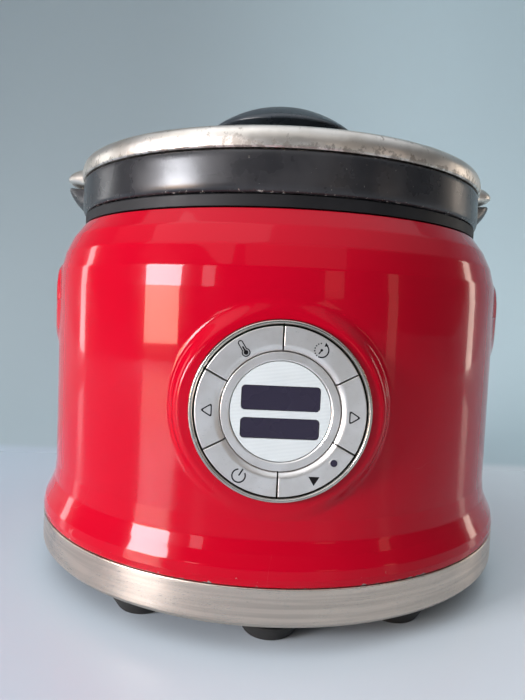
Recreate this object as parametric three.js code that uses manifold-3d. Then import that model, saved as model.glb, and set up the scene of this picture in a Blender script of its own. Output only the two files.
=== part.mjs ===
// Round countertop multi-cooker: enamelled housing, heat well, removable pot and glass lid.
// Millimetres, +Z up. The origin is on the floor under the centre of the round body.
// The control dial faces -Y, the mains inlet +Y, and the hand grips are at +X and -X.

import * as THREE from "three";
import { mergeVertices } from "three/addons/utils/BufferGeometryUtils.js";
import Module from "manifold-3d";

const wasm = await Module();
wasm.setup();

// ---------------------------------------------------------------- driving dimensions

const GAP = 0.3; // clearance between touching pieces
const FINE = 40; // sides of the large visible rounds
const MEDIUM = 28; // sides of the dial and the hidden rounds
const COARSE = 16; // sides of small rounds

const BAND_R = 145.3; // steel band round the foot of the housing
const BAND_BOTTOM = 12.6;
const BAND_TOP = 31.2;
const WALL_R = 138.5; // straight part of the enamelled wall
const WALL_THICK = 2;
const SHELL_BOTTOM = 15.5;
const SHELL_TOP = 202.8;
const MOUTH_R = 125.2; // outer edge of the mouth of the housing
const MOUTH_INNER_R = 122.4;

const FOOT_R = 13;
const FOOT_TOP_R = 17;
const FOOT_HEIGHT = 8.1;
const FOOT_CIRCLE_R = 120;
const FOOT_ANGLES = [-33, 0, 33, 90, 147, 180, 213, 270]; // from the front, seen from above
const COVER_BOTTOM = 8.5;
const COVER_TOP = 10.8; // inside of the bottom cover
const SCREW_CIRCLE_R = 98;
const SCREW_ANGLES = [45, 135, 225, 315];

const WELL_INNER_R = 111.5;
const WELL_OUTER_R = 113;
const WELL_FLOOR = 84;
const WELL_TOP = 202.9;
const SHIELD_R = 117;
const SHIELD_BOTTOM = 62;
const SHIELD_TOP = 195.4;
const RING_TOP = 209.2; // black ring in the mouth
const PLATE_R = 70;
const PLATE_BOTTOM = 80;
const PLATE_TOP = 92.2;
const ELEMENT_R = 52;
const ELEMENT_Z = 76;

const POT_FLOOR = 92.5;
const POT_INNER_R = 107;
const POT_OUTER_R = 109.5;
const POT_BAND_R = 126.2;
const POT_BAND_BOTTOM = 209.6;
const POT_TOP = 229.4;
const SPOUT_X = 140.7; // tip of the pouring lips

const LID_R = 127;
const LID_TOP = 240.9; // crest of the steel rim
const FLAP_X = 139.8; // tip of the rim's strainer flaps
const STRAINER_X = 131.6; // middle of the strainer holes
const GLASS_R = 119.5;
const GLASS_CROWN = 254.4;
const GLASS_FLANGE_Z = 233.1; // underside of the glass where it sits in the rim
const GLASS_THICK = 3.6;
const KNOB_R = 48;
const KNOB_BOTTOM = 257.9;
const KNOB_TOP = 287.7;
const KNOB_DOME_R = 76;
const KNOB_BORE = { r: 2.9, top: 273 };
const VENT_R = 78; // steam vent's distance from the axis

const DIAL_Z = 110.4; // height of the dial's centre
const DIAL_FACE = 142.3; // distance of the dial's face from the object's axis
const BEZEL_R = 41.1;
const BUTTON_OUTER_R = 38.3;
const BUTTON_INNER_R = 27.2;
const BUTTON_TRAVEL = 0.8;
const BUTTON_GAP = 0.7;
const BUTTON_BACK = 138.3; // back of the caps, the display and its windows
const STEM_R = 2.6;
const BOARD_BACK = 129.2;
const BOARD_FRONT = 130.8;
const MAT_BACK = 131.1;
const MAT_FRONT = 133.2;
const RING_R = 26.9;
const DISPLAY_R = 22.6;
const WINDOW_LENGTH = 35.1;
const WINDOWS = { lcd_upper: { centre: 6, height: 10.8 }, lcd_lower: { centre: -7.6, height: 9 } };

const GRIP_Z = 157; // height of the middle of the hand grips
const GRIP_OUTER = { length: 104, height: 54 };
const GRIP_POCKET = { length: 84, height: 27 };
const GRIP_RIDGE_R = 140.5;
const GRIP_WALL = 2.2; // thickness of the cup at its mouth
const GRIP_BACK_X = 119; // back of the steel cup

const INLET_Z = 49;
const INLET = { width: 27, height: 20, back: 112, face: 139.2 };

// ---------------------------------------------------------------- shapes

const V2 = (x, y) => new THREE.Vector2(x, y);

// Solid of revolution about Z from [radius, height] points, up the outside and down the inside.
function turned(points, sides = FINE) {
  const profile = points.map(([r, z]) => V2(r, z));
  const onAxis = points[0][0] === 0 && points.at(-1)[0] === 0;
  if (!onAxis) profile.push(profile[0].clone());
  return new THREE.LatheGeometry(profile, sides).rotateX(Math.PI / 2);
}

function cylinder(r, low, high, sides = COARSE) {
  return turned([[0, low], [r, low], [r, high], [0, high]], sides);
}

function tube(outer, inner, low, high, sides = MEDIUM) {
  return turned([[outer, low], [outer, high], [inner, high], [inner, low]], sides);
}

function box(width, depth, height, x = 0, y = 0, z = 0) {
  return new THREE.BoxGeometry(width, depth, height).translate(x, y, z);
}

// Outline in XY, extruded from one height to another.
function prism(shape, low, high, curveSegments = 6) {
  const options = { depth: high - low, bevelEnabled: false, curveSegments };
  return new THREE.ExtrudeGeometry(shape, options).translate(0, 0, low);
}

function roundedRectangle(length, height, radius, x = 0, y = 0) {
  const a = length / 2;
  const b = height / 2;
  const shape = new THREE.Shape();
  shape.absarc(x + a - radius, y - b + radius, radius, -Math.PI / 2, 0);
  shape.absarc(x + a - radius, y + b - radius, radius, 0, Math.PI / 2);
  shape.absarc(x - a + radius, y + b - radius, radius, Math.PI / 2, Math.PI);
  shape.absarc(x - a + radius, y - b + radius, radius, Math.PI, 1.5 * Math.PI);
  return shape;
}

// Points of a circular arc in a profile, angles in degrees.
function arc(r, z, radius, from, to, steps) {
  return Array.from({ length: steps + 1 }, (_, i) => {
    const angle = THREE.MathUtils.degToRad(from + ((to - from) * i) / steps);
    return [r + radius * Math.cos(angle), z + radius * Math.sin(angle)];
  });
}

// ---------------------------------------------------------------- joining and cutting

function solidOf(geometry) {
  const bare = geometry.clone();
  bare.deleteAttribute("normal");
  bare.deleteAttribute("uv");
  const merged = mergeVertices(bare, 1e-4);
  return new wasm.Manifold(
    new wasm.Mesh({
      numProp: 3,
      vertProperties: merged.attributes.position.array,
      triVerts: new Uint32Array(merged.index.array),
    }),
  );
}

function geometryOf(solid) {
  const mesh = solid.getMesh();
  const geometry = new THREE.BufferGeometry();
  geometry.setAttribute("position", new THREE.BufferAttribute(mesh.vertProperties, 3));
  geometry.setIndex(new THREE.BufferAttribute(mesh.triVerts, 1));
  geometry.computeVertexNormals();
  return geometry;
}

function joined(...geometries) {
  return geometryOf(geometries.map(solidOf).reduce((sum, next) => sum.add(next)));
}

function cut(geometry, ...tools) {
  return geometryOf(tools.map(solidOf).reduce((rest, tool) => rest.subtract(tool), solidOf(geometry)));
}

function common(a, b) {
  return geometryOf(solidOf(a).intersect(solidOf(b)));
}

// ---------------------------------------------------------------- materials and assembly

const finish = {
  enamel: { color: 0xc8001f, roughness: 0.12, metalness: 0.0 },
  steel: { color: 0xb9b4ac, roughness: 0.32, metalness: 1.0 },
  coating: { color: 0x2b282a, roughness: 0.38, metalness: 0.0 },
  blackPlastic: { color: 0x1e2022, roughness: 0.5, metalness: 0.0 },
  knobPlastic: { color: 0x2a333a, roughness: 0.35, metalness: 0.0 },
  rubber: { color: 0x151515, roughness: 0.85, metalness: 0.0 },
  aluminium: { color: 0xb4b6b8, roughness: 0.4, metalness: 1.0 },
  silver: { color: 0xc3c0bc, roughness: 0.35, metalness: 0.7 },
  display: { color: 0xd7e1e1, roughness: 0.45, metalness: 0.2 },
  lcd: { color: 0x241f33, roughness: 0.08, metalness: 0.0 },
  glass: { color: 0xdfe8ea, roughness: 0.05, metalness: 0.0, transparent: true, opacity: 0.35 },
  board: { color: 0x1f5a34, roughness: 0.5, metalness: 0.0 },
  brass: { color: 0xb59a55, roughness: 0.35, metalness: 1.0 },
};

const cooker = new THREE.Group();

// The dial's own frame: X to the right, Y up, Z outwards from the object's axis.
const dial = new THREE.Group();
dial.position.z = DIAL_Z;
dial.rotation.x = Math.PI / 2;
cooker.add(dial);

function add(name, geometry, look, parent = cooker) {
  const mesh = new THREE.Mesh(geometry, new THREE.MeshStandardMaterial(look));
  mesh.name = name;
  parent.add(mesh);
  return mesh;
}

// A tool made in the dial's frame, moved into the object's frame.
function fromDial(geometry) {
  return geometry.rotateX(Math.PI / 2).translate(0, 0, DIAL_Z);
}

// A prism drawn as Y-Z outline round the grip, running outwards from near the axis to far out.
function gripPrism(shape, near, far, side) {
  const along = prism(shape, near, far, 4).rotateY(Math.PI / 2).rotateX(Math.PI / 2);
  return (side < 0 ? along.rotateZ(Math.PI) : along).translate(0, 0, GRIP_Z);
}

// ---------------------------------------------------------------- housing

// Outside of the enamelled shell: foot inside the band, flare, wall and shoulder.
const SHELL_OUTLINE = [
  [143.2, SHELL_BOTTOM],
  [143.2, BAND_TOP + 0.4],
  [145, BAND_TOP + 0.4],
  [145, 37],
  [144.2, 41],
  [140.6, 46.5],
  [139, 52],
  [WALL_R, 60],
  [WALL_R, 172],
  [137, 180],
  [134.2, 186.6],
  [131.4, 193.4],
  [128.2, 199],
  [MOUTH_R, SHELL_TOP],
];

function housingShell() {
  const outside = turned([[0, SHELL_BOTTOM], ...SHELL_OUTLINE, [0, SHELL_TOP]]);
  const inside = turned([
    [0, SHELL_BOTTOM - 5],
    [141.2, SHELL_BOTTOM - 5],
    [141.2, 38],
    [WALL_R - WALL_THICK, 52],
    [WALL_R - WALL_THICK, 173],
    [131.6, 186.5],
    [127.4, 195],
    [MOUTH_INNER_R, SHELL_TOP - 2.4],
    [MOUTH_INNER_R, SHELL_TOP + 5],
    [0, SHELL_TOP + 5],
  ]);
  const dialBoss = fromDial(turned([[0, 110], [51, 110], [51, 133], [46.5, 139.8], [0, 139.8]], MEDIUM));
  const ridge = cylinder(GRIP_RIDGE_R, GRIP_Z - 40, GRIP_Z + 40, FINE);
  const gripBosses = [1, -1].map((side) => {
    const outline = roundedRectangle(GRIP_OUTER.length, GRIP_OUTER.height, 24);
    return common(ridge, gripPrism(outline, 100, 150, side));
  });
  const pockets = [1, -1].map((side) =>
    gripPrism(roundedRectangle(GRIP_POCKET.length, GRIP_POCKET.height, 12), 100, 150, side),
  );
  const dialPocket = fromDial(cylinder(BEZEL_R + GAP, 133, 150, MEDIUM));
  const dialHole = fromDial(cylinder(39.4, 100, 135, MEDIUM));
  const inletHole = box(INLET.width + 2 * GAP, 60, INLET.height + 2 * GAP, 0, 130, INLET_Z);
  return cut(joined(outside, dialBoss, ...gripBosses), inside, dialPocket, dialHole, inletHole, ...pockets);
}

function gripCup(side) {
  const { length, height } = GRIP_POCKET;
  const outer = gripPrism(roundedRectangle(length - 2 * GAP, height - 2 * GAP, 11.7), GRIP_BACK_X, 150, side);
  const face = cylinder(GRIP_RIDGE_R - 1, GRIP_Z - 40, GRIP_Z + 40, FINE);
  const inset = 2 * (GRIP_WALL + GAP);
  const mouth = roundedRectangle(length - inset, height - inset, 9.5);
  return cut(common(outer, face), gripPrism(mouth, GRIP_BACK_X + 1.6, 150, side));
}

add("housing_shell", housingShell(), finish.enamel);
add("grip_cup_right", gripCup(1), finish.steel);
add("grip_cup_left", gripCup(-1), finish.steel);

add(
  "base_band",
  turned([
    [141, BAND_BOTTOM],
    [143.6, BAND_BOTTOM],
    [BAND_R, BAND_BOTTOM + 2],
    [BAND_R, BAND_TOP],
    [143.6, BAND_TOP],
    [143.6, 14.4],
    [141, 13.8],
  ]),
  finish.steel,
);

function roundAbout(radius, degrees) {
  const angle = THREE.MathUtils.degToRad(degrees);
  return [radius * Math.sin(angle), -radius * Math.cos(angle)];
}

function bottomCover() {
  const pan = turned([
    [0, COVER_BOTTOM],
    [132, COVER_BOTTOM],
    [138.6, 11.4],
    [140.4, 14.2],
    [138, 14.2],
    [136.4, 12.4],
    [131, COVER_TOP],
    [0, COVER_TOP],
  ]);
  const holes = SCREW_ANGLES.map((angle) => {
    const [x, y] = roundAbout(SCREW_CIRCLE_R, angle);
    return cylinder(4.8, 0, 20).translate(x, y, 0);
  });
  const slots = [-2, -1, 0, 1, 2].map((i) => box(60, 4.2, 20, 0, 14 * i, 10));
  return cut(pan, ...holes, ...slots);
}

add("bottom_cover", bottomCover(), finish.blackPlastic);

FOOT_ANGLES.forEach((angle, i) => {
  const [x, y] = roundAbout(FOOT_CIRCLE_R, angle);
  const foot = turned(
    [[0, 0], [FOOT_R - 1, 0], [FOOT_R, 1], [FOOT_TOP_R, FOOT_HEIGHT], [0, FOOT_HEIGHT]],
    COARSE,
  );
  add(`foot_${i + 1}`, foot, finish.rubber).position.set(x, y, 0);
});

SCREW_ANGLES.forEach((angle, i) => {
  const [x, y] = roundAbout(SCREW_CIRCLE_R, angle);
  const screw = turned([[0, 9], [4.3, 9], [4.3, 10], [2, 12], [2, 22], [0, 22]], 12);
  add(`base_screw_${i + 1}`, screw, finish.steel).position.set(x, y, 0);
});

add(
  "top_ring",
  turned([
    [WELL_INNER_R + 1.6, WELL_TOP + 0.5],
    [119.4, WELL_TOP + 0.5],
    [119.4, 196.4],
    [121.9, 196.4],
    [121.9, SHELL_TOP + 0.5],
    [124.6, SHELL_TOP + 0.5],
    [124.6, RING_TOP],
    [WELL_INNER_R + 1.6, RING_TOP],
  ]),
  finish.blackPlastic,
);

// ---------------------------------------------------------------- heating

add(
  "heat_well",
  turned([
    [PLATE_R + 2, WELL_FLOOR],
    [WELL_OUTER_R, WELL_FLOOR],
    [WELL_OUTER_R, WELL_TOP - 1.6],
    [118.8, WELL_TOP - 1.6],
    [118.8, WELL_TOP],
    [WELL_INNER_R, WELL_TOP],
    [WELL_INNER_R, WELL_FLOOR + 1.5],
    [PLATE_R + 2, WELL_FLOOR + 1.5],
  ], MEDIUM),
  finish.aluminium,
);

add(
  "heat_shield",
  turned([
    [22, SHIELD_BOTTOM],
    [SHIELD_R, SHIELD_BOTTOM],
    [SHIELD_R, SHIELD_TOP],
    [SHIELD_R - 0.9, SHIELD_TOP],
    [SHIELD_R - 0.9, SHIELD_BOTTOM + 0.9],
    [22, SHIELD_BOTTOM + 0.9],
  ], MEDIUM),
  finish.steel,
);

add(
  "heater_plate",
  turned([[14, PLATE_BOTTOM], [PLATE_R, PLATE_BOTTOM], [PLATE_R, PLATE_TOP], [14, PLATE_TOP]], MEDIUM),
  finish.aluminium,
);

// Sheathed element: most of a ring under the plate, with both ends turned down.
function heatingElement() {
  const open = THREE.MathUtils.degToRad(20);
  const points = [];
  const steps = 28;
  for (let i = 0; i <= steps; i += 1) {
    const angle = Math.PI / 2 + open + ((2 * Math.PI - 2 * open) * i) / steps;
    points.push(new THREE.Vector3(ELEMENT_R * Math.cos(angle), ELEMENT_R * Math.sin(angle), ELEMENT_Z));
  }
  const first = points[0].clone().setZ(ELEMENT_Z - 9);
  const last = points.at(-1).clone().setZ(ELEMENT_Z - 9);
  const path = new THREE.CatmullRomCurve3([first, ...points, last]);
  const section = new THREE.Shape().absarc(0, 0, 3.4, 0, 2 * Math.PI);
  return new THREE.ExtrudeGeometry(section, { steps: 34, extrudePath: path, curveSegments: 3 });
}

add("heating_element", heatingElement(), finish.steel);

add(
  "sensor_guide",
  turned([[8, 66], [13.4, 66], [13.4, 79.4], [12, 79.4], [12, 67.2], [8, 67.2]], 24),
  finish.aluminium,
);

// Coil spring under the sensor.
function sensorSpring() {
  const turns = 3.5;
  const coilR = 8.6;
  const steps = 32;
  const points = Array.from({ length: steps + 1 }, (_, i) => {
    const angle = (2 * Math.PI * turns * i) / steps;
    return new THREE.Vector3(coilR * Math.cos(angle), coilR * Math.sin(angle), 68.6 + (8.6 * i) / steps);
  });
  const path = new THREE.CatmullRomCurve3(points);
  const section = new THREE.Shape().absarc(0, 0, 0.8, 0, 2 * Math.PI);
  return new THREE.ExtrudeGeometry(section, { steps, extrudePath: path, curveSegments: 2 });
}

add("sensor_spring", sensorSpring(), finish.steel);

add(
  "sensor_cap",
  turned([[0, 78.6], [10.6, 78.6], [10.6, 84.6], [12.6, 85.6], [12.6, 90.4], [11.4, 91.9], [0, 91.9]], 24),
  finish.aluminium,
);

// ---------------------------------------------------------------- power electronics and inlet

add("power_board", box(96, 66, 1.6, 0, 50, 24), finish.board);
add("relay", box(19, 15.5, 15.5, -30, 40, 33), finish.blackPlastic);
add("transformer", box(30, 25, 22, 24, 42, 36.4), finish.brass);
add("capacitor", cylinder(8, 25.2, 45, 20).translate(-4, 64, 0), finish.blackPlastic);

function powerInlet() {
  const { width, height, back, face } = INLET;
  const body = box(width, face - back, height, 0, (face + back) / 2, INLET_Z);
  const socket = box(22.6, 17, 15.6, 0, face - 8.5 + 0.01, INLET_Z);
  const pinHoles = pinPlaces.map(([x, z]) => box(4 + 2 * GAP, 60, 2 + 2 * GAP, x, 110, INLET_Z + z));
  return cut(body, socket, ...pinHoles);
}

const pinPlaces = [[-7, -3], [7, -3], [0, 3]];

add("power_inlet", powerInlet(), finish.blackPlastic);
["live", "neutral", "earth"].forEach((name, i) => {
  const [x, z] = pinPlaces[i];
  add(`inlet_pin_${name}`, box(4, 26, 2, x, 118, INLET_Z + z), finish.brass);
});

// ---------------------------------------------------------------- dial

add(
  "dial_bezel",
  turned([
    [39.1, 133.4],
    [BEZEL_R, 133.4],
    [BEZEL_R, DIAL_FACE - 0.4],
    [40.4, DIAL_FACE + 0.3],
    [39.6, DIAL_FACE + 0.3],
    [39.1, DIAL_FACE - 0.2],
  ], FINE),
  finish.steel,
  dial,
);

function controlHousing() {
  const cup = turned([
    [0, 118.4],
    [43.4, 118.4],
    [43.4, 128.6],
    [41.4, 128.6],
    [41.4, 120.2],
    [0, 120.2],
  ], MEDIUM);
  const posts = [45, 135, 225, 315].map((angle) => {
    const [x, y] = roundAbout(34, angle);
    return cylinder(3, 119, 128.9, 10).translate(x, y, 0);
  });
  return joined(cup, ...posts);
}

add("control_housing", controlHousing(), finish.blackPlastic, dial);
add("control_board", cylinder(38.6, BOARD_BACK, BOARD_FRONT, MEDIUM), finish.board, dial);
add("keypad_mat", tube(38.2, 27, MAT_BACK, MAT_FRONT), finish.rubber, dial);
add("display_module", cylinder(21.8, MAT_BACK, BUTTON_BACK - GAP, MEDIUM), finish.blackPlastic, dial);
add("display_ring", tube(RING_R, DISPLAY_R + GAP, MAT_BACK, DIAL_FACE - 1), finish.silver, dial);

function displayPlate() {
  const disc = cylinder(DISPLAY_R, BUTTON_BACK, DIAL_FACE - 1.6, MEDIUM);
  const holes = Object.values(WINDOWS).map(({ centre, height }) =>
    prism(roundedRectangle(WINDOW_LENGTH + 2 * GAP, height + 2 * GAP, 2, 0, centre), 130, 150, 3),
  );
  return cut(disc, ...holes);
}

add("display_plate", displayPlate(), finish.display, dial);
for (const [name, { centre, height }] of Object.entries(WINDOWS)) {
  const outline = roundedRectangle(WINDOW_LENGTH, height, 1.7, 0, centre);
  const window = prism(outline, BUTTON_BACK, DIAL_FACE - 1.9, 3);
  add(name, window, finish.lcd, dial);
}

// Six push buttons between these angles, measured anticlockwise from the right.
const BUTTONS = {
  temperature: [90, 152],
  timer: [28, 90],
  right: [-28, 28],
  down: [-90, -28],
  power: [-152, -90],
  left: [152, 208],
};

function buttonCap(from, to) {
  const outerTrim = Math.asin(BUTTON_GAP / 2 / BUTTON_OUTER_R);
  const innerTrim = Math.asin(BUTTON_GAP / 2 / BUTTON_INNER_R);
  const a = THREE.MathUtils.degToRad(from);
  const b = THREE.MathUtils.degToRad(to);
  const shape = new THREE.Shape();
  shape.absarc(0, 0, BUTTON_OUTER_R, a + outerTrim, b - outerTrim, false);
  shape.absarc(0, 0, BUTTON_INNER_R, b - innerTrim, a + innerTrim, true);
  const cap = prism(shape, BUTTON_BACK, DIAL_FACE, 10);
  const middle = (a + b) / 2;
  const stemR = (BUTTON_OUTER_R + BUTTON_INNER_R) / 2;
  const stem = cylinder(STEM_R, MAT_FRONT + BUTTON_TRAVEL + GAP, BUTTON_BACK + 0.7, 12);
  stem.translate(stemR * Math.cos(middle), stemR * Math.sin(middle), 0);
  return joined(cap, stem);
}

for (const [name, [from, to]] of Object.entries(BUTTONS)) {
  add(`button_${name}`, buttonCap(from, to), finish.silver, dial);
}

// ---------------------------------------------------------------- pot

// Pouring lip on the side of the pot's band: side outline narrowed to a rounded nose in plan.
function spout(side) {
  const profile = new THREE.Shape([
    V2(123, 212),
    V2(126, 212.6),
    V2(132.6, 218.4),
    V2(137.4, 223.6),
    V2(140, 228),
    V2(SPOUT_X, 230.6),
    V2(140.2, 232),
    V2(138.4, 232),
    V2(134, 230.2),
    V2(128, POT_TOP),
    V2(123, POT_TOP),
  ]);
  const side3d = prism(profile, -20, 20).rotateX(Math.PI / 2);
  const plan = new THREE.Shape();
  plan.moveTo(118, -20);
  plan.quadraticCurveTo(132, -17, SPOUT_X - 1, -5);
  plan.quadraticCurveTo(SPOUT_X + 1.3, 0, SPOUT_X - 1, 5);
  plan.quadraticCurveTo(132, 17, 118, 20);
  const nose = common(side3d, prism(plan, 200, 240, 5));
  return side < 0 ? nose.rotateZ(Math.PI) : nose;
}

function cookingPot() {
  const bowl = turned([
    [0, POT_FLOOR],
    [98, POT_FLOOR],
    ...arc(99.5, POT_FLOOR + 10, 10, -90, 0, 2).slice(1),
    [POT_OUTER_R, POT_TOP - 5.4],
    [122.6, POT_TOP - 5.4],
    [122.6, POT_BAND_BOTTOM],
    [124.6, POT_BAND_BOTTOM],
    [125.9, 211.4],
    [POT_BAND_R, 214],
    [126, POT_TOP - 1.4],
    [125, POT_TOP],
    [109.4, POT_TOP],
    [POT_INNER_R, POT_TOP - 1.8],
    ...arc(97.5, POT_FLOOR + 12, 9.5, 0, -90, 3),
    [0, POT_FLOOR + 2.5],
  ]);
  return joined(bowl, spout(1), spout(-1));
}

add("cooking_pot", cookingPot(), finish.coating);

// ---------------------------------------------------------------- lid

// Height of the outside of the domed glass at a radius.
const GLASS_EDGE = { r: 112.8, z: 235.7 };
const GLASS_RISE = GLASS_CROWN - GLASS_EDGE.z;
const GLASS_DOME_R = (GLASS_EDGE.r ** 2 + GLASS_RISE ** 2) / (2 * GLASS_RISE);

function glassHeight(r) {
  return GLASS_CROWN - GLASS_DOME_R + Math.sqrt(GLASS_DOME_R ** 2 - r ** 2);
}

function lidGlass() {
  const radii = [112.8, 84, 56, 28, 3.6];
  const top = radii.map((r) => [r, glassHeight(r)]);
  const underside = radii.map((r) => [r, glassHeight(r) - GLASS_THICK]).reverse().slice(0, -1);
  const dome = turned([
    [111.6, GLASS_FLANGE_Z],
    [GLASS_R, GLASS_FLANGE_Z],
    [GLASS_R, GLASS_EDGE.z],
    ...top,
    ...underside,
  ]);
  const ventHole = cylinder(4.5, 200, 280).translate(0, VENT_R, 0);
  return cut(dome, ventHole);
}

add("lid_glass", lidGlass(), finish.glass);

// Strainer flap of the lid's rim, over a pouring lip.
function strainer(side) {
  const profile = new THREE.Shape([
    V2(121, 232.4),
    V2(128.4, 231.2),
    V2(134, 232),
    V2(138.6, 233.4),
    V2(FLAP_X, 234.8),
    V2(FLAP_X - 0.3, 236.6),
    V2(137, 239.4),
    V2(132, 241.4),
    V2(127, 242),
    V2(121, 240.6),
  ]);
  const side3d = prism(profile, -20, 20).rotateX(Math.PI / 2);
  const plan = new THREE.Shape();
  plan.moveTo(118, -22);
  plan.quadraticCurveTo(135, -18, FLAP_X - 0.5, -6);
  plan.quadraticCurveTo(FLAP_X + 0.5, 0, FLAP_X - 0.5, 6);
  plan.quadraticCurveTo(135, 18, 118, 22);
  const flap = common(side3d, prism(plan, 220, 250, 4));
  return side < 0 ? flap.rotateZ(Math.PI) : flap;
}

function lidRim() {
  const hoop = turned([
    [104, POT_TOP - 5.4],
    [105.2, POT_TOP - 5.4],
    [105.2, POT_TOP + 0.4],
    [126.4, POT_TOP + 0.4],
    [LID_R, LID_TOP - 7.5],
    [125.4, LID_TOP - 1.5],
    [122.2, LID_TOP],
    [118.4, LID_TOP - 1],
    [113.2, LID_TOP - 3.7],
    [113.2, LID_TOP - 4.8],
    [119.9, LID_TOP - 4.8],
    [119.9, GLASS_FLANGE_Z - 0.4],
    [104, GLASS_FLANGE_Z - 0.4],
  ]);
  const holes = [1, -1].flatMap((side) =>
    [-7, 0, 7].map((y) => cylinder(1.7, 225, 250, 10).translate(side * STRAINER_X, y, 0)),
  );
  return cut(joined(hoop, strainer(1), strainer(-1)), ...holes);
}

add("lid_rim", lidRim(), finish.steel);

function lidKnob() {
  const reach = THREE.MathUtils.radToDeg(Math.asin((KNOB_R - 1.5) / KNOB_DOME_R));
  return turned([
    [KNOB_BORE.r, KNOB_BOTTOM],
    [14, KNOB_BOTTOM],
    [15.5, KNOB_BOTTOM + 3],
    [42, KNOB_BOTTOM + 8.2],
    [KNOB_R, KNOB_BOTTOM + 11.6],
    ...arc(0, KNOB_TOP - KNOB_DOME_R, KNOB_DOME_R, 90 - reach, 90, 4).slice(0, -1),
    [0, KNOB_TOP],
    [0, KNOB_BORE.top],
    [KNOB_BORE.r, KNOB_BORE.top],
  ]);
}

add("lid_knob", lidKnob(), finish.knobPlastic);

const ferruleBottom = GLASS_CROWN + 0.4;
const ferruleTop = KNOB_BOTTOM - 0.4;
add(
  "knob_ferrule",
  turned([
    [3.4, ferruleBottom],
    [20, ferruleBottom],
    [20.6, ferruleBottom + 1.1],
    [17, ferruleTop],
    [3.4, ferruleTop],
  ], MEDIUM),
  finish.steel,
);

const washerTop = GLASS_CROWN - GLASS_THICK - 1.3;
const screwSeat = washerTop - 2.4;
const screwTop = KNOB_BORE.top - 2.1;
add("knob_washer", tube(12, 3.2, washerTop - 2, washerTop, 24), finish.rubber);
add(
  "knob_screw",
  turned([
    [0, screwSeat - 2.8],
    [5, screwSeat - 2.8],
    [6, screwSeat],
    [2.5, screwSeat],
    [2.5, screwTop],
    [0, screwTop],
  ], COARSE),
  finish.steel,
);

function steamVent() {
  const top = glassHeight(VENT_R - 9);
  return turned([
    [1.6, top - 8.6],
    [4.1, top - 8.6],
    [4.1, top + GAP],
    [7.4, top + GAP],
    [6.8, top + 1.6],
    [1.6, top + 1.6],
  ], COARSE);
}

add("steam_vent", steamVent(), finish.steel).position.y = VENT_R;

export default cooker;
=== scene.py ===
"""Looks of a round countertop multi-cooker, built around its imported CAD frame.

Blender's own frame is in metres, with +Z up and the control dial facing -Y. Profiles and outlines below
are in millimetres. An angle about the body starts at the dial and grows towards +X.
"""

from math import asin, cos, degrees, hypot, pi, radians, sin, sqrt, tan

import bmesh
import bpy
from mathutils import Matrix, Vector


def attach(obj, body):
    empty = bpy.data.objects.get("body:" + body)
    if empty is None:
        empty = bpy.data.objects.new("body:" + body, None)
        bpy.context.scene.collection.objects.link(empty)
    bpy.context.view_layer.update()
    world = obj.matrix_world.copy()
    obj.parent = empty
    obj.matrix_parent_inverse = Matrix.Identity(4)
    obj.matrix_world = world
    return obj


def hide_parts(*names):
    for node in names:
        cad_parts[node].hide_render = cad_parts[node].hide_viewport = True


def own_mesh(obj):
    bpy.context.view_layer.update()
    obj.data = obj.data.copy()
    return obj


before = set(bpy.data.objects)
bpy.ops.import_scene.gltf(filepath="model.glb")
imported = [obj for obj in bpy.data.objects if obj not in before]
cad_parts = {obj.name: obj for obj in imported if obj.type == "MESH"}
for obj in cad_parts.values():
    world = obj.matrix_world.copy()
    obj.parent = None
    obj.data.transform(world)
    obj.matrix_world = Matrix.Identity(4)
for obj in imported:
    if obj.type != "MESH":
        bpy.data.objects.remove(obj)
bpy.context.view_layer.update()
MM = 0.001

# ---------------------------------------------------------------- dimensions, in millimetres

DIAL_Z = 110.4
BUTTON_BACK = 138.3  # back of the button caps and of the display, from the axis
BUTTON_FACE = 142.3
PRINT_LOW = BUTTON_FACE - 0.02  # the printed symbols start just inside the buttons' faces
DIAL_PLANE = 139.8  # distance of the dial's red seat from the axis
GAP = 0.3
SEAT_R = 41.8  # flat part of the seat
SEAT_OUTER_R = 53  # where its fillet meets the wall
BEZEL_R = 41.1
WALL_R = 138.5
GRIP_Z = 157
GRIP_POCKET = (84, 27, 12)  # length, height, corner radius
INLET_Z = 49
INLET = (27, 20)  # width, height
POT_R = 126.2
GLASS_CROWN = 254.4
GLASS_EDGE = (112.8, 235.7)
GLASS_RISE = GLASS_CROWN - GLASS_EDGE[1]
GLASS_DOME_R = (GLASS_EDGE[0] ** 2 + GLASS_RISE**2) / (2 * GLASS_RISE)
FOOT_CIRCLE_R = 120
SCREW_CIRCLE_R = 98
VENT_R = 78
STRAINER_X = 131.6
KNOB_BOTTOM = 257.9
KNOB_TOP = 287.7
KNOB_DOME_R = 76
KNOB_BORE_TOP = 273
FOOT_ANGLES = (-33, 0, 33, 90, 147, 180, 213, 270)
SCREW_ANGLES = (45, 135, 225, 315)


def smoother(t):
    t = min(max(t, 0), 1)
    return t * t * t * (t * (6 * t - 15) + 10)


def between(points, x):
    """Value at x of a line through (x, value) points."""
    for (x0, v0), (x1, v1) in zip(points, points[1:]):
        if x <= x1:
            return v0 + (v1 - v0) * max(0, x - x0) / (x1 - x0)
    return points[-1][1]


# ---------------------------------------------------------------- meshes


def finished(name, verts, faces, sharp=38):
    """A smooth-shaded object from points in millimetres, its faces turned outwards."""
    mesh = bpy.data.meshes.new(name)
    mesh.from_pydata([Vector(v) * MM for v in verts], [], faces)
    work = bmesh.new()
    work.from_mesh(mesh)
    bmesh.ops.recalc_face_normals(work, faces=work.faces)
    work.to_mesh(mesh)
    work.free()
    mesh.shade_smooth()
    mesh.set_sharp_from_angle(angle=radians(sharp))
    piece = bpy.data.objects.new(name, mesh)
    bpy.context.scene.collection.objects.link(piece)
    return piece


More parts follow.
